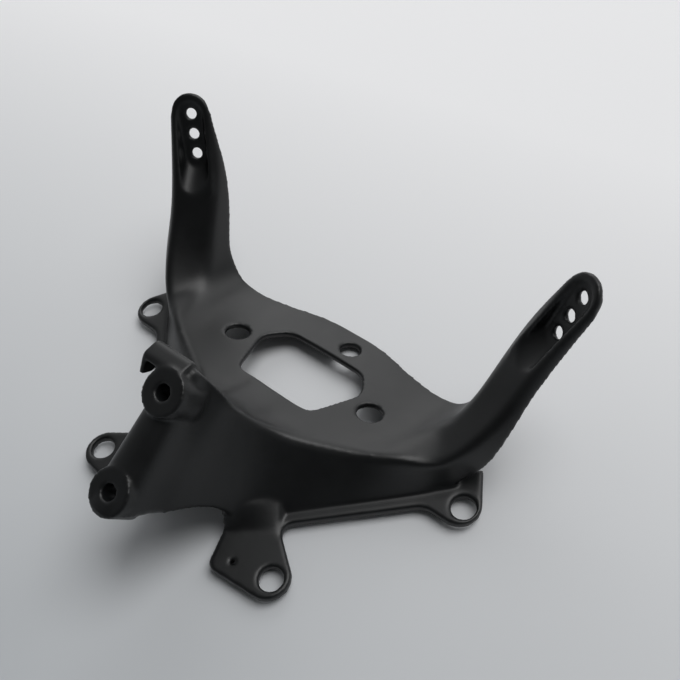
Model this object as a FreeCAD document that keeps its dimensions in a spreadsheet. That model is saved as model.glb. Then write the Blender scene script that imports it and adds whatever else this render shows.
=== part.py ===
import FreeCAD, Part
import math
import os

# Fairing stay: one thin-walled casting. A sloping plate turns up at its sides into two arms, its
# rear ridge climbs to a head tower with two bolt bosses, and a skirt drops to a lip with four lugs.
# Lengths are millimetres, angles degrees. X is right, Y forward, Z up with the lugs level, and the
# origin is the centre of the upper boss's face.

V = FreeCAD.Vector
doc = FreeCAD.newDocument("fairing_stay")
sheet = doc.addObject("Spreadsheet::Sheet", "sizes")

SIZES = {
    # casting, with the plate's own level frame: origin midway between the plate's side holes
    "wall": 4.0,
    "plate_slope": 18.7,
    "plate_rise": 16.7,
    # places of the sections across the plate
    "side_x": 45.0,
    "shoulder_x": 70.0,
    # front edge of the plate
    "front_mid": 50.0,
    "front_side": 42.8,
    "front_shoulder": 39.0,
    # fold between the plate and the wall behind it
    "fold_mid": 52.0,
    "fold_mid_lift": 2.0,
    "fold_pull_x": 12.0,
    "fold_side": 28.0,
    "fold_shoulder": 8.0,
    "fold_shoulder_lift": 0.5,
    "fold_round": 22.0,
    # ridge from the tower's top down to the shoulder
    "tower_half_width": 7.5,
    "tower_top_back": 85.0,
    "tower_top_rise": 53.0,
    "tower_crown": 2.0,
    "ridge_pull_x": 10.0,
    "ridge_pull_back": 60.0,
    "ridge_pull_lift": 4.0,
    "ridge_side": 42.0,
    "ridge_shoulder": 28.7,
    "ridge_lift": 1.6,
    "ridge_round": 4.0,
    # lower edge of the tower and foot of the skirt
    "beak_half_width": 9.5,
    "beak_back": 141.0,
    "beak_drop": 4.0,
    "beak_crown": 3.0,
    "root_x": 25.4,
    "root_back": 91.2,
    "root_drop": 25.1,
    "root_pull_x": 33.0,
    "root_pull_back": 80.0,
    "root_pull_drop": 46.0,
    "foot_side_x": 49.0,
    "foot_side": 64.0,
    "foot_side_drop": 36.5,
    "foot_shoulder": 43.3,
    "foot_shoulder_drop": 29.5,
    # bend into the arm: each corner's reach from the hinge line and its place along Y
    "bend_low_angle": 30.0,
    "bend_low_front": 33.5,
    "bend_low_front_y": 38.0,
    "bend_low_fold": 33.0,
    "bend_low_fold_y": 6.6,
    "bend_low_ridge": 37.0,
    "bend_low_ridge_y": -19.3,
    "bend_low_foot": 61.5,
    "bend_low_foot_y": -13.0,
    "bend_mid_angle": 45.0,
    "bend_mid_front": 31.5,
    "bend_mid_front_y": 38.3,
    "bend_mid_fold": 32.0,
    "bend_mid_fold_y": 13.0,
    "bend_mid_ridge": 44.5,
    "bend_mid_ridge_y": -12.0,
    "bend_mid_foot": 62.0,
    "bend_mid_foot_y": 1.0,
    "bend_high_angle": 60.0,
    "bend_high_front": 30.0,
    "bend_high_front_y": 38.8,
    "bend_high_fold": 30.0,
    "bend_high_fold_y": 18.6,
    "bend_high_ridge": 46.3,
    "bend_high_ridge_y": -5.1,
    "bend_high_foot": 60.5,
    "bend_high_foot_y": 6.5,
    # arms: height of each section, then the web's centre, width and turn there
    "arm_root": 35.0,
    "arm_half": 70.0,
    "arm_tip": 122.0,
    "web_x_root": 110.9,
    "web_x_half": 120.4,
    "web_x_tip": 140.3,
    "web_y_root": 17.7,
    "web_y_half": 30.3,
    "web_y_tip": 43.6,
    "web_width_root": 25.7,
    "web_width_half": 27.3,
    "web_width_tip": 22.0,
    "web_turn_root": 35.6,
    "web_turn_half": 35.4,
    "web_turn_tip": 26.0,
    "front_flange": 17.1,
    "front_flange_fade": 70.0,
    "rear_flange": 10.0,
    "rear_flange_turn": 38.0,
    "flange_tip": 3.2,
    "arm_round": 6.0,
    # mirror pads
    "pad_x": 130.0,
    "pad_y": 38.9,
    "pad_z": 87.5,
    "pad_lean_out": 15.7,
    "pad_lean_front": 4.2,
    "pad_turn": 28.0,
    "pad_lean_web": 10.5,
    "pad_sink": 5.0,
    "pad_thick": 3.5,
    "pad_width": 15.0,
    "pad_pitch": 12.0,
    "pad_hole": 6.6,
    "pad_ramp": 15.0,
    "pad_draft": 1.2,
    "tip_round": 13.0,
    "tip_taper": 0.2,
    "tip_centre": 12.6,
    # plate openings
    "grommet_hole": 14.5,
    "grommet_x": 51.0,
    "front_hole": 12.5,
    "front_hole_x": 8.0,
    "front_hole_y": 35.0,
    "window_rear": 23.7,
    "window_rear_x": 27.0,
    "window_side_x": 38.5,
    "window_side_y": 8.0,
    "window_front": 23.0,
    "window_front_x": 28.0,
    "window_rear_round": 8.0,
    "window_round": 12.0,
    # lugs and the lip between them
    "lug_thick": 5.0,
    "lug_round": 12.0,
    "lug_hole": 13.3,
    "rear_lug_x": 66.3,
    "rear_lug_y": -101.4,
    "front_lug_x": 121.3,
    "front_lug_y": -12.4,
    "rear_lug_in": 31.8,
    "rear_lug_in_back": 15.1,
    "rear_lug_out": 31.7,
    "rear_lug_out_back": 8.8,
    "front_lug_in": 16.8,
    "front_lug_out": 18.7,
    "front_lug_back": 11.5,
    "lip_bay_x": 49.5,
    "lip_bay_y": -77.0,
    "peg_hole": 2.6,
    "peg_x": 44.0,
    "peg_y": -106.8,
    "gusset_set": 2.5,
    "gusset_x": 43.0,
    "gusset_back": 66.5,
    "gusset_top": 11.0,
    # head bosses
    "boss_round": 12.6,
    "boss_hole": 8.5,
    "boss_step": 3.0,
    "boss_flare": 0.4,
    "boss_depth": 18.0,
    "upper_boss_depth": 4.0,
    "upper_boss_foot": 14.2,
    "lower_boss_depth": 18.0,
    "lower_boss_foot": 14.5,
    "upper_boss_y": 81.6,
    "upper_boss_z": 91.1,
    "boss_pitch": 54.4,
    "boss_rake": 30.6,
    # hood beside the upper boss
    "hood_wall": 3.0,
    "hood_left": 21.8,
    "hood_right": -4.0,
    "hood_front": 61.0,
    "hood_back": 72.5,
    "hood_lip": 81.5,
    "hood_top": 96.5,
    "hood_low": 84.0,
    "hood_round": 4.0,
}
for row, (name, value) in enumerate(SIZES.items(), 1):
    sheet.set("A%d" % row, name)
    sheet.set("B%d" % row, str(value))
    sheet.setAlias("B%d" % row, name)
doc.recompute()


def size(name):
    return float(sheet.get(name))


def lerp(a, b, t):
    return a + (b - a) * t


def unit(v):
    return V(v).normalize()


def bow(start, pull, end, t):
    """Point of the curve from start to end that leans towards pull."""
    return start * (1 - t) ** 2 + pull * (2 * t * (1 - t)) + end * t ** 2


# Sections of the shell in the plate's level frame, from the middle out to an arm's tip. Each has
# four outer corners, front edge, fold, ridge and foot, and the reach of the fold's rounding.
WALL = size("wall")
SIDE = size("side_x")
SHOULDER = size("shoulder_x")
FOLD_ROUND = size("fold_round")
ARM_ROUND = size("arm_round")
TOWER = size("tower_half_width")

front_near = V(TOWER, size("front_mid"), 0)
front_pull = V(SIDE / 2, size("front_mid"), 0)
front_side = V(SIDE, size("front_side"), 0)
fold_near = V(TOWER, -size("fold_mid"), size("fold_mid_lift"))
fold_pull = V(size("fold_pull_x"), -size("fold_mid"), 0)
fold_side = V(SIDE, -size("fold_side"), 0)
ridge_near = V(TOWER, -size("tower_top_back"), size("tower_top_rise"))
ridge_pull = V(size("ridge_pull_x"), -size("ridge_pull_back"), size("ridge_pull_lift"))
ridge_side = V(SIDE, -size("ridge_side"), size("ridge_lift"))
foot_near = V(size("beak_half_width"), -size("beak_back"), -size("beak_drop"))
foot_root = V(size("root_x"), -size("root_back"), -size("root_drop"))
foot_pull = V(size("root_pull_x"), -size("root_pull_back"), -size("root_pull_drop"))
foot_side = V(size("foot_side_x"), -size("foot_side"), -size("foot_side_drop"))


def foot(t):
    """Straight lower edge of the tower, then a bow round to the skirt's foot."""
    if t <= 0.5:
        return lerp(foot_near, foot_root, 2 * t)
    return bow(foot_root, foot_pull, foot_side, 2 * t - 1)


def tower_section(t):
    corners = [
        bow(front_near, front_pull, front_side, t),
        bow(fold_near, fold_pull, fold_side, t),
        bow(ridge_near, ridge_pull, ridge_side, t),
        foot(t),
    ]
    return corners, lerp(FOLD_ROUND, FOLD_ROUND / 2, t)


def middle_section():
    corners = [V(0, c.y, c.z) for c in tower_section(0)[0]]
    corners[2] += V(0, -1, 1) * size("tower_crown")
    corners[3] += V(0, -1, 0) * size("beak_crown")
    return corners, FOLD_ROUND


def shoulder_section():
    corners = [
        V(SHOULDER, size("front_shoulder"), 0),
        V(SHOULDER, -size("fold_shoulder"), size("fold_shoulder_lift")),
        V(SHOULDER, -size("ridge_shoulder"), size("ridge_lift")),
        V(SHOULDER, -size("foot_shoulder"), -size("foot_shoulder_drop")),
    ]
    return corners, ARM_ROUND * 1.5


def bend_section(name):
    """Section turned about the hinge line where the arm bends up."""
    angle = math.radians(size(name + "_angle"))
    hinge = V(SHOULDER, 0, size("arm_root"))
    away = V(math.sin(angle), 0, -math.cos(angle))
    corners = []
    for corner in ("front", "fold", "ridge", "foot"):
        key = name + "_" + corner
        corners.append(hinge + away * size(key) + V(0, size(key + "_y"), 0))
    return corners, ARM_ROUND


def web(name, z):
    """A size of the arm's web at a height, from its values at root, half and tip."""
    low, half, tip = [size("arm_" + place) for place in ("root", "half", "tip")]
    at_root, at_half, at_tip = [size("web_%s_%s" % (name, p)) for p in ("root", "half", "tip")]
    if z <= half:
        return lerp(at_root, at_half, (z - low) / (half - low))
    return lerp(at_half, at_tip, (z - half) / (tip - half))


def arm_section(z):
    climb = z - size("arm_root")
    share = climb / (size("arm_tip") - size("arm_root"))
    turn = math.radians(web("turn", z))
    half_web = V(math.cos(turn), -math.sin(turn), 0) * (web("width", z) / 2)
    centre = V(web("x", z), web("y", z), z)
    fold = centre - half_web
    ridge = centre + half_web
    front_width = max(size("front_flange") * (1 - climb / size("front_flange_fade")), size("flange_tip"))
    rear_turn = math.radians(size("rear_flange_turn"))
    rear_width = lerp(size("rear_flange"), size("flange_tip"), share)
    rear_edge = ridge + V(math.cos(rear_turn), math.sin(rear_turn), 0) * rear_width
    return [fold + V(0, front_width, 0), fold, ridge, rear_edge], ARM_ROUND


def mirrored(section):
    corners, reach = section
    return [V(-c.x, c.y, c.z) for c in corners], reach


right_half = [tower_section(t) for t in (0, 0.25, 0.5, 0.75, 1)] + [shoulder_section()]
right_half += [bend_section(name) for name in ("bend_low", "bend_mid", "bend_high")]
near_tip = (size("arm_half") + size("arm_tip")) / 2
right_half += [arm_section(z) for z in (size("arm_root"), size("arm_half"), near_tip, size("arm_tip"))]
sections = [mirrored(s) for s in right_half[::-1]] + [middle_section()] + right_half
outer = [corners for corners, reach in sections]
LAST = len(outer) - 1
steps = [0.0]
for here, ahead in zip(outer[:-1], outer[1:]):
    steps.append(steps[-1] + sum((ahead[k] - here[k]).Length for k in (1, 2, 3)))


def strip_normals(i):
    """Outward normals of the three strips, plate, wall and skirt, at section i."""
    ahead = outer[min(i + 1, LAST)]
    behind = outer[max(i - 1, 0)]
    normals = []
    for k in range(3):
        along = ahead[k] - behind[k] + ahead[k + 1] - behind[k + 1]
        if i in (0, LAST):
            along = V(0, 0, along.z)
        normals.append(unit(along.cross(outer[i][k] - outer[i][k + 1])))
    return normals


def inner_corners(i):
    """Corners one wall thickness under the outer skin of section i."""
    corners = outer[i]
    normals = strip_normals(i)
    inner = [corners[0] - normals[0] * WALL]
    for k in (1, 2):
        mean = unit(normals[k - 1] + normals[k])
        inner.append(corners[k] - mean * (WALL / mean.dot(normals[k])))
    inner.append(corners[3] - normals[2] * WALL)
    return inner


def eased(before, corner, after, reach):
    """Start, pull and end of the curve that rounds a corner off."""
    back = min(reach, (before - corner).Length * 0.42)
    on = min(reach, (after - corner).Length * 0.42)
    return [corner + unit(before - corner) * back, corner, corner + unit(after - corner) * on]


def section_ring(i):
    """Points round section i: front edge, rounded fold, broken ridge, foot, then the inner corners."""
    front, fold, ridge, low = outer[i]
    rounding = eased(front, fold, ridge, sections[i][1])
    start, pull, end = eased(fold, ridge, low, size("ridge_round"))
    broken = [[start], [bow(start, pull, end, 0.5)], [end]]
    return [[front], rounding] + broken + [[low]] + [[c] for c in inner_corners(i)[::-1]]


def rail(points):
    """One smooth line through the same corner of every section."""
    curve = Part.BSplineCurve()
    curve.interpolate(Points=points, Parameters=steps)
    return curve


def skin(rails):
    """Surface over two rails, straight across, or over three, rounded across."""
    first = rails[0]
    across = len(rails) - 1
    poles = [[r.getPole(i + 1) for r in rails] for i in range(first.NbPoles)]
    ends = [across + 1, across + 1]
    surface = Part.BSplineSurface()
    surface.buildFromPolesMultsKnots(poles, first.getMultiplicities(), ends, first.getKnots(), [0.0, 1.0],
                                     False, False, first.Degree, across)
    return surface.toShape()


def end_cap(ring):
    edges = []
    for i, row in enumerate(ring):
        if len(row) == 3:
            curve = Part.BezierCurve()
            curve.setPoles(row)
            edges.append(curve.toShape())
        edges.append(Part.makeLine(row[-1], ring[(i + 1) % len(ring)][0]))
    return Part.Face(Part.Wire(edges))


def swept_shell():
    rings = [section_ring(i) for i in range(len(outer))]
    rails = []
    for corner, row in enumerate(rings[0]):
        rails.append([rail([ring[corner][k] for ring in rings]) for k in range(len(row))])
    faces = [end_cap(rings[0]), end_cap(rings[-1])]
    for i, row in enumerate(rails):
        if len(row) == 3:
            faces.append(skin(row))
        faces.append(skin([row[-1], rails[(i + 1) % len(rails)][0]]))
    shell = Part.makeShell(faces)
    shell.sewShape()
    solid = Part.makeSolid(shell)
    if solid.Volume < 0:
        solid.reverse()
    return solid


def feature(name, shape, placement=None):
    piece = doc.addObject("Part::Feature", name)
    piece.Shape = shape
    if placement:
        piece.Placement = placement
    return piece


def fused(name, pieces):
    piece = doc.addObject("Part::MultiFuse", name)
    piece.Shapes = pieces
    return piece


def cut(name, base, tool):
    piece = doc.addObject("Part::Cut", name)
    piece.Base = base
    piece.Tool = tool
    return piece


def mirror(source):
    piece = doc.addObject("Part::Mirroring", source.Name + "_left")
    piece.Source = source
    piece.Base = V(0, 0, 0)
    piece.Normal = V(1, 0, 0)
    return piece


def cylinder(name, radius, height, base, axis):
    """Cylinder bound to the sheet, its end at base and its length along axis."""
    piece = doc.addObject("Part::Cylinder", name)
    piece.setExpression("Radius", radius)
    piece.setExpression("Height", height)
    piece.Placement = FreeCAD.Placement(base, FreeCAD.Rotation(V(0, 0, 1), axis))
    return piece


def rounded(corners):
    """Closed flat wire through corners given as x, y and radius."""
    ends = []
    for i, (x, y, radius) in enumerate(corners):
        here = V(x, y, 0)
        before = V(*corners[i - 1][:2], 0)
        after = V(*corners[(i + 1) % len(corners)][:2], 0)
        if not radius:
            ends.append((here, None, here))
            continue
        to_before = unit(before - here)
        to_after = unit(after - here)
        half = to_before.getAngle(to_after) / 2
        middle = unit(to_before + to_after)
        centre = here + middle * (radius / math.sin(half))
        reach = radius / math.tan(half)
        ends.append((here + to_before * reach, centre - middle * radius, here + to_after * reach))
    edges = []
    for i, (first, between, last) in enumerate(ends):
        if between:
            edges.append(Part.Arc(first, between, last).toShape())
        edges.append(Part.makeLine(last, ends[(i + 1) % len(ends)][0]))
    return Part.Wire(edges)


def prism(wire, along):
    return Part.Face(wire).extrude(along)


# The plate's frame slopes down to the front and stands over the lugs' floor.
LEVEL = FreeCAD.Placement(V(0, 0, size("plate_rise")), FreeCAD.Rotation(V(1, 0, 0), -size("plate_slope")))
BIG = 4 * SHOULDER
shell_piece = feature("shell_piece", swept_shell(), LEVEL)

# Mirror pads: a flat floor with three holes, sunk behind the web, with a ramp up from below.
PITCH = size("pad_pitch")
SINK = size("pad_sink")
RAMP = size("pad_ramp")
BACK = size("pad_thick")
DRAFT = size("pad_draft")
HALF_PAD = size("pad_width") / 2
LEAN = size("pad_lean_web")
lean_out = math.radians(size("pad_lean_out"))
lean_front = math.radians(size("pad_lean_front"))
pad_turn = math.radians(size("pad_turn"))
pad_up = unit(V(math.tan(lean_out), math.tan(lean_front), 1))
pad_in = unit(V(math.cos(pad_turn), -math.sin(pad_turn), 0).cross(pad_up))
pad_floor = V(size("pad_x"), size("pad_y"), size("pad_z"))
pad_axes = FreeCAD.Rotation(unit(pad_up.cross(pad_in)), pad_up, pad_in, "ZXY")
PAD = LEVEL.multiply(FreeCAD.Placement(pad_floor, pad_axes))


def stadium(half_width, low, high, height, lean=0):
    """Slot outline in the pad's frame, x across, y up the arm, leaning about x at a height."""
    left_low = V(-half_width, low, 0)
    left_high = V(-half_width, high, 0)
    right_low = V(half_width, low, 0)
    right_high = V(half_width, high, 0)
    top = V(0, high + half_width, 0)
    bottom = V(0, low - half_width, 0)
    wire = Part.Wire([
        Part.Arc(left_high, top, right_high).toShape(),
        Part.makeLine(right_high, right_low),
        Part.Arc(right_low, bottom, left_low).toShape(),
        Part.makeLine(left_low, left_high),
    ])
    wire.Placement = FreeCAD.Placement(V(0, 0, height), FreeCAD.Rotation(V(1, 0, 0), -lean))
    return wire


pad_side = BACK * 0.6
back_floor = stadium(HALF_PAD + pad_side, -PITCH - BACK / 2, PITCH, -BACK)
back_mouth = stadium(HALF_PAD + pad_side + DRAFT, -PITCH - RAMP - BACK, PITCH, SINK - WALL / 4, LEAN)
pad_backing = feature("pad_backing", Part.makeLoft([back_floor, back_mouth], True, True), PAD)
mouth = stadium(HALF_PAD + DRAFT, -PITCH - RAMP, PITCH, SINK, LEAN)
web_normal = V(0, math.sin(math.radians(LEAN)), math.cos(math.radians(LEAN)))
sunk = Part.makeLoft([stadium(HALF_PAD, -PITCH, PITCH, 0), mouth], True, True)
pocket = feature("pocket", sunk.fuse(prism(mouth, web_normal * SINK)), PAD)

# The arm's tip is rounded off about a centre just over the top hole, with a little draft.
TIP_DEPTH = 6 * SINK
spread = size("tip_taper") * TIP_DEPTH
tip_y = size("tip_centre")
tip_edge = size("tip_round")
tip_low = tip_y - TIP_DEPTH
tip_far = 2 * TIP_DEPTH
tip_outline = [(tip_edge, tip_y, 0), (tip_edge + SINK, tip_low, 0), (tip_far, tip_low, 0),
               (tip_far, tip_y + TIP_DEPTH, 0)]
tip_outline += [(-x, y, 0) for x, y, radius in tip_outline[::-1]]
tip_block = prism(rounded(tip_outline), V(0, 0, 2 * TIP_DEPTH))
tip_block.translate(V(0, 0, SINK - TIP_DEPTH))
tip_core = Part.makeCone(tip_edge - spread, tip_edge + spread, 2 * TIP_DEPTH,
                         V(0, tip_y, SINK - TIP_DEPTH))
tip_trim = feature("tip_trim", tip_block.cut(tip_core), PAD)

# Head bosses on the raked bar, each with a flared foot that runs down into the tower's walls.
RAKE = math.radians(size("boss_rake"))
DOWN_BAR = V(0, -math.cos(RAKE), -math.sin(RAKE))
OUT_BAR = V(0, -math.sin(RAKE), math.cos(RAKE))
UPPER_BOSS = V(0, -size("upper_boss_y"), size("upper_boss_z"))
LOWER_BOSS = UPPER_BOSS + DOWN_BAR * size("boss_pitch")
faces_of_bosses = {"upper": UPPER_BOSS, "lower": LOWER_BOSS}
edge_near = LEVEL.multVec(foot_near)
edge_root = LEVEL.multVec(foot_root)
wall_low = LEVEL.multVec(fold_near)
wall_high = LEVEL.multVec(ridge_near)
inside_wall = V(0, -WALL / 2, 0)
over_edge = V(0, 0, WALL / 8)
tower_side = [edge_near + over_edge, edge_root + over_edge, wall_low + inside_wall, wall_high + inside_wall]
tower_side.append(V(0, -BIG, 0) + wall_high)
tower_side = [V(-BIG, c.y, c.z) for c in tower_side]
tower_side.insert(4, tower_side[3] + V(0, 0, SHOULDER))
tower_side[5] += V(0, 0, SHOULDER)
within_tower = prism(Part.makePolygon(tower_side + tower_side[:1]), V(2 * BIG, 0, 0))
raised = []
for name, face in faces_of_bosses.items():
    depth = "sizes.%s_boss_depth" % name
    raised.append(cylinder(name + "_boss", "sizes.boss_round", depth, face, OUT_BAR * -1))
    flare_top = face - OUT_BAR * size("boss_step")
    flare = Part.makeCone(size("boss_round") + size("boss_flare"), size(name + "_boss_foot"),
                          size("boss_depth") - size("boss_step"), flare_top, OUT_BAR * -1)
    raised.append(feature(name + "_boss_foot", flare.common(within_tower)))

# Hood beside the upper boss, on the left only, open to the rear. Its outline is drawn side on.
SIDE_ON = FreeCAD.Rotation(V(0, 1, 0), V(0, 0, 1), V(1, 0, 0), "ZXY")
HOOD = size("hood_wall")
hood_y = [-size("hood_" + place) for place in ("front", "back", "lip")]
hood_wide = size("hood_left") - size("hood_right")
hood_outline = [(hood_y[0], size("hood_low"), 0), (hood_y[0], size("hood_top"), size("hood_round")),
                (hood_y[1], size("hood_top"), size("hood_round")), (hood_y[2], size("hood_low"), 0)]
pocket_front = hood_y[0] - 2 * HOOD
pocket_back = hood_y[2] - 2 * HOOD
pocket_low = size("hood_low") - HOOD
pocket_top = size("hood_top") - HOOD
pocket_outline = [(pocket_front, pocket_low, 0), (pocket_front, pocket_top, HOOD),
                  (pocket_back, pocket_top, 0), (pocket_back, pocket_low, 0)]
hood_block = prism(rounded(hood_outline), V(0, 0, hood_wide))
hood_pocket = prism(rounded(pocket_outline), V(0, 0, hood_wide - 2 * HOOD))
hood_pocket.translate(V(0, 0, HOOD))
hood_place = FreeCAD.Placement(V(-size("hood_left"), 0, 0), SIDE_ON)
raised.append(feature("hood", hood_block.cut(hood_pocket), hood_place))

# Lugs and the lip between them lie on the floor; gussets carry the rear lugs up to the tower's root.
LUG = size("lug_round")
GUSSET = size("gusset_set")
rear_x = size("rear_lug_x")
rear_y = size("rear_lug_y")
front_x = size("front_lug_x")
front_y = size("front_lug_y")
bay_x = size("lip_bay_x")
bay_y = size("lip_bay_y")
skirt_in = V(-WALL, WALL, 0)
root_in = edge_root + skirt_in * 2
side_in = LEVEL.multVec(foot_side) + skirt_in * 2
shoulder_in = LEVEL.multVec(shoulder_section()[0][3]) + skirt_in
bend_in = LEVEL.multVec(bend_section("bend_low")[0][3]) + skirt_in * 2
lug_outline = [
    (edge_root.x, edge_root.y + WALL, 0),
    (rear_x - size("rear_lug_in"), rear_y - size("rear_lug_in_back"), LUG / 2),
    (rear_x + size("rear_lug_out"), rear_y - size("rear_lug_out_back"), LUG),
    (bay_x, bay_y, LUG / 2),
    (front_x - size("front_lug_in"), front_y - size("front_lug_back"), LUG),
    (front_x + size("front_lug_out"), front_y - size("front_lug_back"), LUG),
    (front_x - WALL, front_y + 2 * LUG, 0),
    (bend_in.x, bend_in.y + 2 * WALL, 0),
    (shoulder_in.x, shoulder_in.y, 0),
    (side_in.x, side_in.y, 0),
    (root_in.x, root_in.y, 0),
]
lugs = feature("lugs", prism(rounded(lug_outline), V(0, 0, size("lug_thick"))))
into_skirt = V(-WALL, 3 * WALL, 0)
under_root = V(0, GUSSET, -2 * GUSSET)
lug_top = size("lug_thick") * 0.95
apex = V(size("gusset_x"), -size("gusset_back"), size("gusset_top"))
gusset_low = [V(edge_root.x + GUSSET, edge_root.y - GUSSET, lug_top), V(bay_x + GUSSET, bay_y - WALL, lug_top)]
gusset_low += [corner + into_skirt for corner in gusset_low[::-1]]
gusset_high = [edge_root + under_root, apex]
gusset_high += [corner + into_skirt * 0.6 for corner in gusset_high[::-1]]
gusset_ends = [Part.makePolygon(ring + ring[:1]) for ring in (gusset_low, gusset_high)]
gusset = feature("gusset", Part.makeLoft(gusset_ends, True, True))
pieces = [shell_piece] + raised
for piece in (pad_backing, lugs, gusset):
    pieces += [piece, mirror(piece)]
body = fused("body", pieces)

# Openings.
window_right = [(size("window_rear_x"), -size("window_rear"), size("window_rear_round")),
                (size("window_side_x"), size("window_side_y"), size("window_round")),
                (size("window_front_x"), size("window_front"), size("window_round"))]
window_left = [(-x, y, radius) for x, y, radius in window_right[::-1]]
window = prism(rounded(window_right + window_left), V(0, 0, 10 * WALL))
through = V(0, 0, -5 * WALL)
tools = [feature("window", window, LEVEL.multiply(FreeCAD.Placement(through, FreeCAD.Rotation())))]
plate_up = LEVEL.Rotation.multVec(V(0, 0, 1))
plate_holes = (("grommet_right", "grommet_hole", size("grommet_x"), 0),
               ("grommet_left", "grommet_hole", -size("grommet_x"), 0),
               ("front_opening", "front_hole", size("front_hole_x"), size("front_hole_y")))
for name, hole, x, y in plate_holes:
    base = LEVEL.multVec(V(x, y, 0) + through)
    tools.append(cylinder(name, "sizes.%s / 2" % hole, "10 * sizes.wall", base, plate_up))
paired = [pocket, tip_trim]
for name, x, y in (("rear_lug_hole", rear_x, rear_y), ("front_lug_hole", front_x, front_y)):
    base = V(x, y, -size("lug_thick"))
    paired.append(cylinder(name, "sizes.lug_hole / 2", "3 * sizes.lug_thick", base, V(0, 0, 1)))
for place in (-1, 0, 1):
    base = PAD.multVec(V(0, place * PITCH, -3 * SINK))
    paired.append(cylinder("pad_hole_%d" % (place + 2), "sizes.pad_hole / 2", "6 * sizes.pad_sink", base,
                           PAD.Rotation.multVec(V(0, 0, 1))))
for tool in paired:
    tools += [tool, mirror(tool)]
tools.append(cylinder("peg_opening", "sizes.peg_hole / 2", "3 * sizes.lug_thick",
                      V(size("peg_x"), size("peg_y"), -size("lug_thick")), V(0, 0, 1)))
for name, face in faces_of_bosses.items():
    tools.append(cylinder(name + "_bolt_hole", "sizes.boss_hole / 2", "sizes.boss_depth + 2 * sizes.wall",
                          face + OUT_BAR * WALL, OUT_BAR * -1))
openings = fused("openings", tools)
stay = cut("fairing_stay", body, openings)
stay.setExpression(".Placement.Base.y", "sizes.upper_boss_y")
stay.setExpression(".Placement.Base.z", "-sizes.upper_boss_z")
doc.recompute()

for piece in doc.Objects:
    if "Invalid" in piece.State or "Error" in piece.State:
        raise RuntimeError("not built: " + piece.Name)
if stay.Shape.isNull() or not stay.Shape.isValid() or len(stay.Shape.Solids) != 1:
    raise RuntimeError("the casting is not one valid solid")
os.makedirs("parts", exist_ok=True)
stay.Shape.exportStep("parts/fairing_stay.step")
box = stay.Shape.optimalBoundingBox()
print("fairing stay", round(box.XLength, 1), round(box.YLength, 1), round(box.ZLength, 1), "mm overall")
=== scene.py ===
# %% [markdown]
# A fairing stay: the black casting that carries a sports motorbike's nose fairing, instruments and
# mirrors on its steering head. It is one piece of metal, so the scene has one piece to dress. The CAD
# solid gives its true shape, and Blender gives the soft edges and the coat that the eye sees.

# %% Load the frame
import math
import bmesh
import bpy
from mathutils import Matrix, Vector


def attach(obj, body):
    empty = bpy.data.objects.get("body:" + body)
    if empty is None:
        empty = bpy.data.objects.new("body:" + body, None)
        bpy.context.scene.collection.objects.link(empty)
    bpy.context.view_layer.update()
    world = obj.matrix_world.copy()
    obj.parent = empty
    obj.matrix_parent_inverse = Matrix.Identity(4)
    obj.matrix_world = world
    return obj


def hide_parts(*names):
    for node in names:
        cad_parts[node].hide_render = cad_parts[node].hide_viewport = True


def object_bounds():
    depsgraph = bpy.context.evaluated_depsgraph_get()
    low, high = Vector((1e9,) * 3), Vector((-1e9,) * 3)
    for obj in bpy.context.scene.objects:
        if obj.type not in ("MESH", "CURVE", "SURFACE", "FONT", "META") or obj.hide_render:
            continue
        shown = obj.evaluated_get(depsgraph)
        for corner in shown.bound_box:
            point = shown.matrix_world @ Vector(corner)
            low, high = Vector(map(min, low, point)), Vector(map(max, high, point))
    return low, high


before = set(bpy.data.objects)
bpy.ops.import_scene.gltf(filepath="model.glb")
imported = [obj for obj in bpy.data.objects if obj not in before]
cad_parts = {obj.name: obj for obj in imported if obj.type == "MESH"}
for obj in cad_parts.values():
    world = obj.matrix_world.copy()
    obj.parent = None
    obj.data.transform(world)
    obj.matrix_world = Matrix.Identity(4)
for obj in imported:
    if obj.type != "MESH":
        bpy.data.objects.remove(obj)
cad_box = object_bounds()
MM = 0.001
low, high = [Vector(corner) for corner in cad_box]
print("CAD box in mm", [round(side / MM, 1) for side in high - low])

# %% [markdown]
# The frame's own mesh is never changed, so the work is done on a copy. A mesh made from CAD comes face by
# face, with points that repeat along every seam. Welding them makes one closed skin, which the next step
# needs to tell metal from air.

# %% A welded copy of the solid
WELD_MM = 0.02
stay_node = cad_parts["fairing_stay"]
casting = stay_node.copy()
casting.data = stay_node.data.copy()
casting.name = "stay_casting"
casting.parent = None
casting.matrix_world = stay_node.matrix_world.copy()
bpy.context.scene.collection.objects.link(casting)

weld = bmesh.new()
weld.from_mesh(casting.data)
bmesh.ops.remove_doubles(weld, verts=weld.verts, dist=WELD_MM * MM)
weld.to_mesh(casting.data)
weld.free()
print("welded copy has", len(casting.data.vertices), "points")

# %% [markdown]
# A sand-cast or die-cast part has no knife edges: metal shrinks, the mould's corners are radiused and
# the powder coat rounds them further. A bevel modifier would need clean edge loops, which a mesh made
# from CAD does not have. A voxel remesh gives an even skin over the whole solid instead, and a little
# smoothing of that skin rounds every edge by about the size of a voxel, as casting does.

# %% Even skin over the casting
SKIN_MM = 1.0


def applied(piece):
    """Bake a piece's modifiers into its mesh."""
    bpy.context.view_layer.update()
    evaluated = piece.evaluated_get(bpy.context.evaluated_depsgraph_get())
    baked = bpy.data.meshes.new_from_object(evaluated)
    piece.modifiers.clear()
    piece.data = baked


skin = casting.modifiers.new("skin", "REMESH")
skin.mode = "VOXEL"
skin.voxel_size = SKIN_MM * MM
skin.use_smooth_shade = True
applied(casting)
print("skin has", len(casting.data.polygons), "faces")

# %% [markdown]
# The little hood beside the upper boss has one free corner, low at its rear. A foundry takes such a
# point off, because it breaks. Smoothing would only draw a thin corner out to a needle, so the corner is
# pressed back to a flat first, along the line that points out through it.

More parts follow.
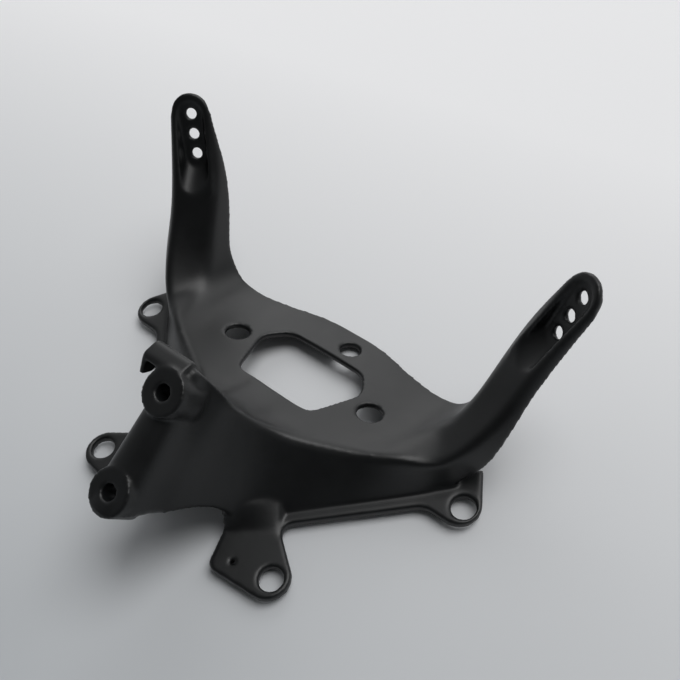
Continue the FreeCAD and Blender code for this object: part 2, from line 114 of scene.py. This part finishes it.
# %% Blunt corner on the hood
CORNER_OUT = Vector((0, -0.6, -0.8))
CORNER_FLAT_MM = 4.5
HOOD_LOW_MM = Vector((-27, -12, -25))
HOOD_HIGH_MM = Vector((-16, 25, 10))


def in_hood(place):
    """True for a point in the box that holds only the hood's outer wall."""
    spot = place / MM
    return all(least < value < most for least, value, most in zip(HOOD_LOW_MM, spot, HOOD_HIGH_MM))


hood = [vertex for vertex in casting.data.vertices if in_hood(vertex.co)]
corner_flat = max(vertex.co.dot(CORNER_OUT) for vertex in hood) - CORNER_FLAT_MM * MM
for vertex in hood:
    vertex.co -= CORNER_OUT * max(0, vertex.co.dot(CORNER_OUT) - corner_flat)
print("hood wall has", len(hood), "points")

# %% [markdown]
# Where the rear lugs run up into the tower the mould has a generous fillet, so the flank seems to flow
# out into the lug. The bosses flow into the flank in the same way, and the valley between the window and
# the tower is one even curve. A fillet can be modelled face by face, or the skin can be relaxed there
# more than elsewhere. Relaxing is simpler on an even skin: a vertex group says how much each place may
# move, and the number of passes says how wide the fillet becomes. The rims of the arms get a few passes
# more than other edges, because voxels leave small steps along a sloping rim, and the arms stand against
# a pale ground that shows them.

# %% Soft edges all over, and fillets where the mould is generous
PASS_STRENGTH = 0.5
FULL_FROM = 0.5


def relax(name, passes, reach=0, centres=()):
    """Smooth the casting, all over, or only within reach of the centres, both in mm."""
    soft = casting.modifiers.new(name, "SMOOTH")
    soft.factor = PASS_STRENGTH
    soft.iterations = passes
    if centres:
        group = casting.vertex_groups.new(name=name)
        soft.vertex_group = name
        for vertex in casting.data.vertices:
            spot = vertex.co / MM
            depth = max(1 - (spot - Vector(centre)).length / reach for centre in centres)
            if depth > 0:
                group.add([vertex.index], min(1.0, depth / FULL_FROM), "REPLACE")
    print(name, "takes", passes, "passes")


def both_sides(x, y, z):
    """A place on the right, and its mirror image on the left."""
    return [(-x, y, z), (x, y, z)]


relax("soft edges", passes=4)
relax("lug fillets", passes=16, reach=17, centres=both_sides(37, 1, -80))
relax("lug necks", passes=50, reach=15, centres=both_sides(42, -5, -85))
relax("boss feet", passes=60, reach=11, centres=[(14, 9, -15), (13, -38, -40)])
relax("valley", passes=100, reach=26, centres=[(4, 43, -58)])
relax("arm rims", passes=12, reach=110, centres=both_sides(120, 105, -20))
applied(casting)

# %% [markdown]
# The webs of the arms and the plate are nearly flat, and an even skin spends as many faces on them as on
# a rounded rim. A larger voxel would thin the rims too. Collapsing edges where the surface is flat keeps
# the rims as they are. It comes last, because smoothing needs even faces.

# %% Fewer faces on the flats
KEPT_SHARE = 0.64
thinner = casting.modifiers.new("fewer faces", "DECIMATE")
thinner.decimate_type = "COLLAPSE"
thinner.ratio = KEPT_SHARE
applied(casting)
for polygon in casting.data.polygons:
    polygon.use_smooth = True
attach(casting, "root")
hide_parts("fairing_stay")
print("casting has", sum(len(p.vertices) - 2 for p in casting.data.polygons), "triangles")

# %% [markdown]
# Colours are written as sRGB hex codes, as a paint chart or a screen gives them, but a shader works in
# linear light, so one function turns the one into the other. Another adds a node, sets it and links it
# in one line, which keeps a material readable. Noise is scaled in waves per metre, so a third turns a
# real size into a scale.

# %% Helpers for colours and nodes


def linear(hex_code):
    """Linear RGBA of an sRGB hex colour."""
    channels = [int(hex_code[i:i + 2], 16) / 255 for i in (1, 3, 5)]
    return [c / 12.92 if c <= 0.04045 else ((c + 0.055) / 1.055) ** 2.4 for c in channels] + [1.0]


def add_node(tree, kind, settings=(), inputs=()):
    """Add a node with its settings; an input is a plain value or another node's output socket."""
    node = tree.nodes.new(kind)
    for name, value in dict(settings).items():
        setattr(node, name, value)
    for name, value in dict(inputs).items():
        if isinstance(value, bpy.types.NodeSocket):
            tree.links.new(value, node.inputs[name])
        else:
            node.inputs[name].default_value = value
    return node


def waves_per_metre(size_mm):
    """Noise scale whose features are about size_mm across."""
    return 1 / (size_mm * MM)


print("mid grey on a screen is", round(linear("#808080")[0], 3), "in linear light")

# %% [markdown]
# The finish is satin black powder coat on cast aluminium: a baked polyester skin, a tenth of a
# millimetre thick. Its black is a little uneven over a few centimetres, and thin edges lose some coat and
# look paler. A painted image would not follow the part into other uses, so noise at that real size
# mixes two blacks, and the mesh's own pointiness finds the edges.

# %% Colour of the powder coat
COAT_DEEP = "#0A0B0C"
COAT_PALE = "#111314"
WORN_EDGE = "#2C2F31"
MOTTLE_MM = 28
MOTTLE_LOW = 0.3
MOTTLE_HIGH = 0.7
EDGE_BLUNT = 0.53
EDGE_SHARP = 0.66
MOST_WEAR = 0.5

coat = bpy.data.materials.new("powder_coated_cast_aluminium")
coat.use_nodes = True
tree = coat.node_tree
tree.nodes.clear()
place = add_node(tree, "ShaderNodeTexCoord").outputs["Object"]
mottle = add_node(tree, "ShaderNodeTexNoise", inputs={
    "Vector": place, "Scale": waves_per_metre(MOTTLE_MM), "Detail": 4.0, "Roughness": 0.6})
shade = add_node(tree, "ShaderNodeValToRGB", inputs={"Fac": mottle.outputs["Fac"]})
shade.color_ramp.elements[0].position = MOTTLE_LOW
shade.color_ramp.elements[0].color = linear(COAT_DEEP)
shade.color_ramp.elements[1].position = MOTTLE_HIGH
shade.color_ramp.elements[1].color = linear(COAT_PALE)
corner = add_node(tree, "ShaderNodeNewGeometry").outputs["Pointiness"]
wear = add_node(tree, "ShaderNodeMapRange", inputs={
    "Value": corner, "From Min": EDGE_BLUNT, "From Max": EDGE_SHARP, "To Min": 0.0, "To Max": MOST_WEAR})
colour = add_node(tree, "ShaderNodeMix", {"data_type": "RGBA"}, {"Factor": wear.outputs["Result"]})
tree.links.new(shade.outputs["Color"], colour.inputs["A"])
colour.inputs["B"].default_value = linear(WORN_EDGE)
print("coat mottles every", MOTTLE_MM, "mm")

# %% [markdown]
# Powder melts into a faint orange peel, with dimples a millimetre or two apart, and under it the casting's
# own skin waves a little. Both are far too shallow to model, but they break up a highlight, and that tells
# the eye of a coated casting. Two bump nodes in a row lay the peel over the waves.

# %% Relief of the powder coat
PEEL_MM = 1.6
PEEL_DEPTH_MM = 0.1
PEEL_STRENGTH = 0.18
CAST_WAVE_MM = 9
CAST_DEPTH_MM = 0.4
CAST_STRENGTH = 0.12

peel = add_node(tree, "ShaderNodeTexNoise", inputs={
    "Vector": place, "Scale": waves_per_metre(PEEL_MM), "Detail": 2.0, "Roughness": 0.5})
cast_wave = add_node(tree, "ShaderNodeTexNoise", inputs={
    "Vector": place, "Scale": waves_per_metre(CAST_WAVE_MM), "Detail": 2.0})
wave_bump = add_node(tree, "ShaderNodeBump", inputs={
    "Strength": CAST_STRENGTH, "Distance": CAST_DEPTH_MM * MM, "Height": cast_wave.outputs["Fac"]})
peel_bump = add_node(tree, "ShaderNodeBump", inputs={
    "Strength": PEEL_STRENGTH, "Distance": PEEL_DEPTH_MM * MM, "Height": peel.outputs["Fac"],
    "Normal": wave_bump.outputs["Normal"]})
print("peel is", PEEL_MM, "mm across and cast waves are", CAST_WAVE_MM, "mm")

# %% [markdown]
# Polyester is a dielectric, so metallic is 0 and the IOR is near 1.5, and its highlights are white. A satin
# powder has a roughness around 0.4. It varies with the same noise as the colour, because powder that lay
# a little thicker flows out smoother, and looks both deeper and glossier.

# %% Gloss of the powder coat
SATIN_GLOSSY = 0.36
SATIN_DULL = 0.46
POLYESTER_IOR = 1.5

gloss = add_node(tree, "ShaderNodeMapRange", inputs={
    "Value": mottle.outputs["Fac"], "From Min": MOTTLE_LOW, "From Max": MOTTLE_HIGH,
    "To Min": SATIN_GLOSSY, "To Max": SATIN_DULL})
surface = add_node(tree, "ShaderNodeBsdfPrincipled", inputs={
    "Base Color": colour.outputs["Result"], "Roughness": gloss.outputs["Result"],
    "Normal": peel_bump.outputs["Normal"], "Metallic": 0.0, "IOR": POLYESTER_IOR})
add_node(tree, "ShaderNodeOutputMaterial", inputs={"Surface": surface.outputs["BSDF"]})
casting.data.materials.clear()
casting.data.materials.append(coat)
print("coat has", len(tree.nodes), "nodes")

# %% [markdown]
# The part stands on a plain sheet that takes its shadow. One large face at the bottom of the CAD box is
# enough, and its edge lies far off in every view.

# %% Pale floor
FLOOR_HALF = 8.0
sheet = bpy.data.meshes.new("floor")
corners = [(-1, -1), (1, -1), (1, 1), (-1, 1)]
sheet.from_pydata([(FLOOR_HALF * x, FLOOR_HALF * y, low.z) for x, y in corners], [], [(0, 1, 2, 3)])
floor = bpy.data.objects.new("floor", sheet)
bpy.context.scene.collection.objects.link(floor)
print("floor lies", round(-low.z / MM, 1), "mm below the upper boss")

# %% [markdown]
# The sheet in the photograph is matt grey paper. Paper scatters light evenly and mirrors nothing, so its
# roughness is near 1.
# Its colour carries a painted light falloff: a darker grey stands in for shade and a near white for light,
# lighter towards the top. The gradient is laid across the floor itself, turned to the photograph's
# direction, so it stays in place from any side.

# %% Grey paper on the floor, with a painted light falloff
# Painted light: the darker grey is painted shade, the near white is painted light, not two tones of the
# paper
PAPER_PAINTED_SHADE = "#ADB2B6"
PAPER_PAINTED_LIGHT = "#FAFAFB"
FADE_TURN = math.radians(-96)
FADE_NEAR_M = -0.25
FADE_FAR_M = 0.35
PAPER_ROUGHNESS = 0.9

paper = bpy.data.materials.new("matt_paper_painted_falloff")
paper.use_nodes = True
tree = paper.node_tree
tree.nodes.clear()
place = add_node(tree, "ShaderNodeTexCoord").outputs["Object"]
turned = add_node(tree, "ShaderNodeMapping", inputs={"Vector": place, "Rotation": (0, 0, FADE_TURN)})
across = add_node(tree, "ShaderNodeSeparateXYZ", inputs={"Vector": turned.outputs["Vector"]})
fade = add_node(tree, "ShaderNodeMapRange", inputs={
    "Value": across.outputs["X"], "From Min": FADE_NEAR_M, "From Max": FADE_FAR_M})
# This ramp paints the falloff of light across the floor into the paper's colour
painted_falloff = add_node(tree, "ShaderNodeValToRGB", inputs={"Fac": fade.outputs["Result"]})
painted_falloff.color_ramp.elements[0].color = linear(PAPER_PAINTED_SHADE)
painted_falloff.color_ramp.elements[1].color = linear(PAPER_PAINTED_LIGHT)
matt = add_node(tree, "ShaderNodeBsdfPrincipled", inputs={
    "Base Color": painted_falloff.outputs["Color"], "Roughness": PAPER_ROUGHNESS})
add_node(tree, "ShaderNodeOutputMaterial", inputs={"Surface": matt.outputs["BSDF"]})
sheet.materials.append(paper)
print("paper fades over", round(FADE_FAR_M - FADE_NEAR_M, 2), "m")

# %% [markdown]
# Black shows its form only by what it mirrors. A large soft lamp stands ahead, where the plate mirrors
# it to the camera, and a smaller one ahead on the right catches the strip of the left arm. A wide, distant
# light overhead, like a bright ceiling, lights the paper evenly and keeps the shadows soft.

# %% Soft studio light
AIM = Vector((0, 0.05, 0))


def soft_lamp(name, kind, place, **settings):
    """A lamp at place, turned to the part; its settings are Blender's own."""
    lamp = bpy.data.lights.new(name, kind)
    for setting, value in settings.items():
        setattr(lamp, setting, value)
    holder = bpy.data.objects.new(name, lamp)
    holder.location = place
    holder.rotation_euler = (AIM - Vector(place)).to_track_quat("-Z", "Y").to_euler()
    bpy.context.scene.collection.objects.link(holder)
    print(name, "lamp is", round((AIM - Vector(place)).length, 2), "m away")


soft_lamp("ahead", "AREA", (-1.23, 1.76, 1.07), energy=13, size=1.8)
soft_lamp("right_ahead", "AREA", (0.75, 1.90, 1.20), energy=5, size=1.2)
soft_lamp("overhead", "SUN", (0.40, 0.75, 1.80), energy=1.5, angle=math.radians(42))

# %% [markdown]
# A black part mirrors the room as well as the lamps. Its faces that look back stay nearly black in the
# photograph, so that end of the room was dark. A plain world colour would grey them. Instead the world's
# strength changes with the direction, from full ahead to dim behind.

# %% A room that is dimmer at one end
ROOM_COLOUR = "#E8EAEC"
DIM_END = (0.33, -0.75, 0.57)
DIM_FROM = 0.0
DIM_FULL = 0.8
ROOM_DIM = 0.08
ROOM_PALE = 0.40
world = bpy.data.worlds.new("room")
bpy.context.scene.world = world
world.use_nodes = True
tree = world.node_tree
tree.nodes.clear()
facing = add_node(tree, "ShaderNodeVectorMath", {"operation": "DOT_PRODUCT"})
tree.links.new(add_node(tree, "ShaderNodeTexCoord").outputs["Generated"], facing.inputs[0])
facing.inputs[1].default_value = DIM_END
level = add_node(tree, "ShaderNodeMapRange", inputs={
    "Value": facing.outputs["Value"], "From Min": DIM_FROM, "From Max": DIM_FULL,
    "To Min": ROOM_PALE, "To Max": ROOM_DIM})
wall = add_node(tree, "ShaderNodeBackground", inputs={
    "Color": linear(ROOM_COLOUR), "Strength": level.outputs["Result"]})
add_node(tree, "ShaderNodeOutputWorld", inputs={"Surface": wall.outputs["Background"]})
print("room is", ROOM_DIM, "at its dim end and", ROOM_PALE, "ahead")

# %% [markdown]
# The camera's place was solved from the mirror pairs of holes in the photograph: it looks down on the
# part from behind its right side, and is held a little turned about its own axis.

# %% Camera
CAMERA_MM = Vector((255.7, -104.7, 334.7))
LOOK_MM = Vector((27.0, 92.1, -38.7))
ROLL = math.radians(-12.07)
LENS_MM = 47.65
SENSOR_MM = 36
NEAREST_MM = 10
lens = bpy.data.cameras.new("camera")
lens.sensor_width = SENSOR_MM
lens.lens = LENS_MM
lens.clip_start = NEAREST_MM * MM
camera = bpy.data.objects.new("camera", lens)
turn = (LOOK_MM - CAMERA_MM).to_track_quat("-Z", "Y").to_matrix() @ Matrix.Rotation(ROLL, 3, "Z")
camera.matrix_world = Matrix.Translation(CAMERA_MM * MM) @ turn.to_4x4()
bpy.context.scene.collection.objects.link(camera)
bpy.context.scene.camera = camera
bpy.context.scene.view_settings.view_transform = "Standard"
print("camera is", round((LOOK_MM - CAMERA_MM).length), "mm from the part")
